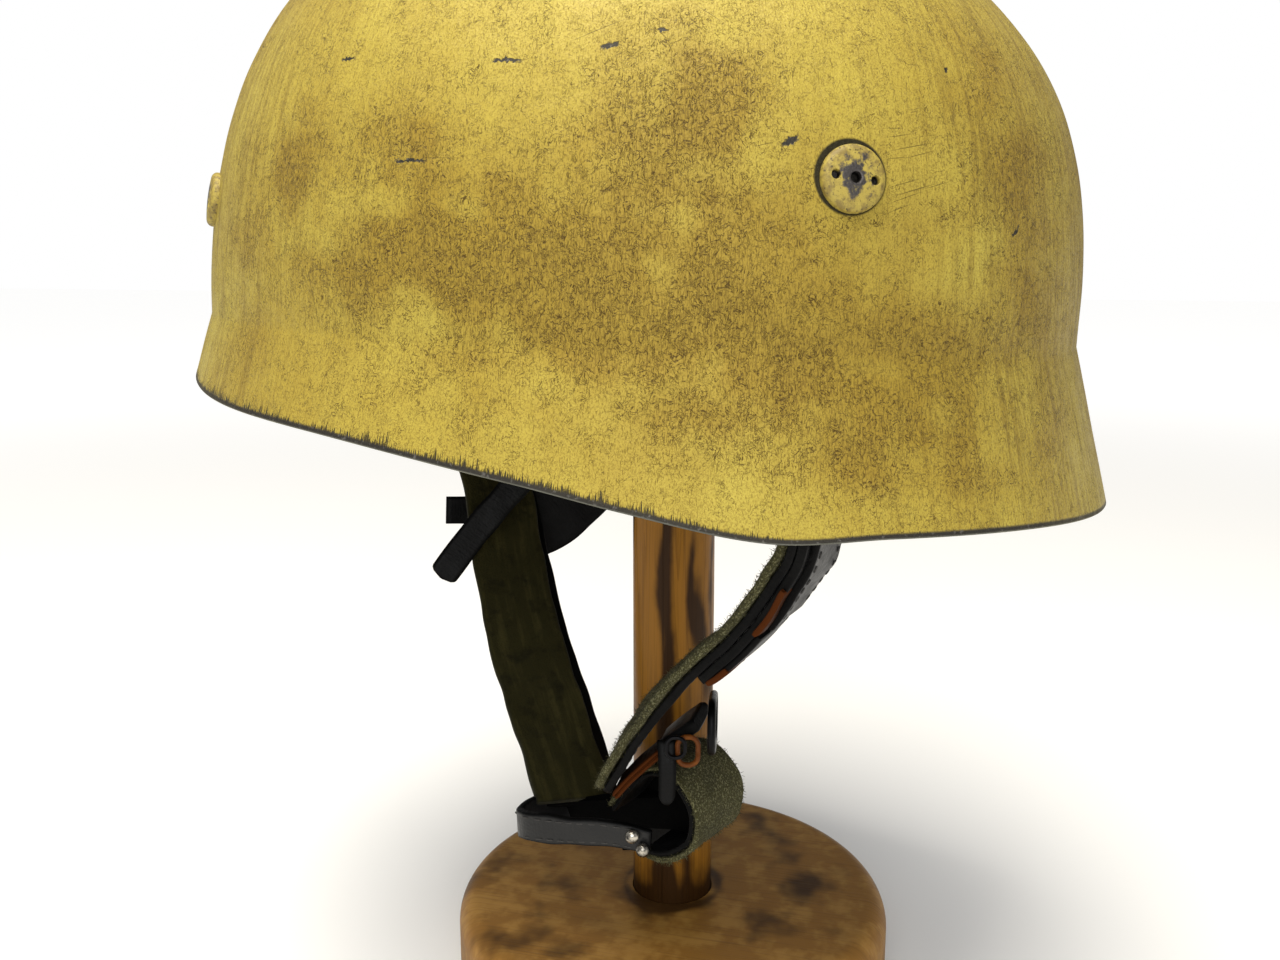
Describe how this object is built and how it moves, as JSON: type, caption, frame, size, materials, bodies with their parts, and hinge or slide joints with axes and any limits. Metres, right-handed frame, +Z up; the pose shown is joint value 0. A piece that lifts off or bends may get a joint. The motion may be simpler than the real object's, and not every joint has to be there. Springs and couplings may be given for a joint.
{
  "type": "paratrooper helmet on a wooden stand",
  "caption": "Steel paratrooper helmet in worn sand paint with a black leather and olive felt chin harness, resting on a round wooden stand",
  "frame": {"origin": "centre of the flat underside of the wooden stand", "axes": "+Z up, the helmet's brow faces -Y, the wearer's left side is +X"},
  "size_m": [0.2344, 0.2809, 0.3461],
  "materials": {
    "sand_paint": "worn matt sand paint, chipped to grey steel at the rim",
    "dark_steel": "plain dark steel",
    "black_leather": "black harness leather, slightly shiny",
    "brown_leather": "raw tan leather underside",
    "olive_felt": "olive wool felt",
    "black_metal": "black enamelled wire",
    "nickel": "bright nickel stud",
    "burnt_pine": "torched and oiled pine"
  },
  "bodies": {
    "root": {"shell": "sand_paint", "bolt_front_left": "sand_paint", "nut_front_left": "dark_steel", "bolt_front_right": "sand_paint", "nut_front_right": "dark_steel", "bolt_rear_left": "sand_paint", "nut_rear_left": "dark_steel", "bolt_rear_right": "sand_paint", "nut_rear_right": "dark_steel", "strap_rear_left_leather": "black_leather", "strap_rear_left_felt": "olive_felt", "strap_front_left_end": "black_leather", "adjuster_pocket": "black_leather", "adjuster_lining": "brown_leather", "keeper": "black_leather", "strap_front_left_leather": "black_leather", "strap_front_right_leather": "black_leather", "strap_front_right_felt": "olive_felt", "strap_rear_right_leather": "black_leather", "loop_felt": "olive_felt", "loop_leather": "black_leather", "chin_strip": "black_leather", "chin_back": "black_leather", "buckle_strap": "brown_leather", "fold_lower": "black_leather", "fold_upper": "black_leather", "tongue": "black_leather", "buckle_frame": "black_metal", "leather_ring": "brown_leather", "stud_upper": "nickel", "stud_lower": "nickel", "stand_post": "burnt_pine", "stand_base": "burnt_pine"}
  },
  "joints": []
}
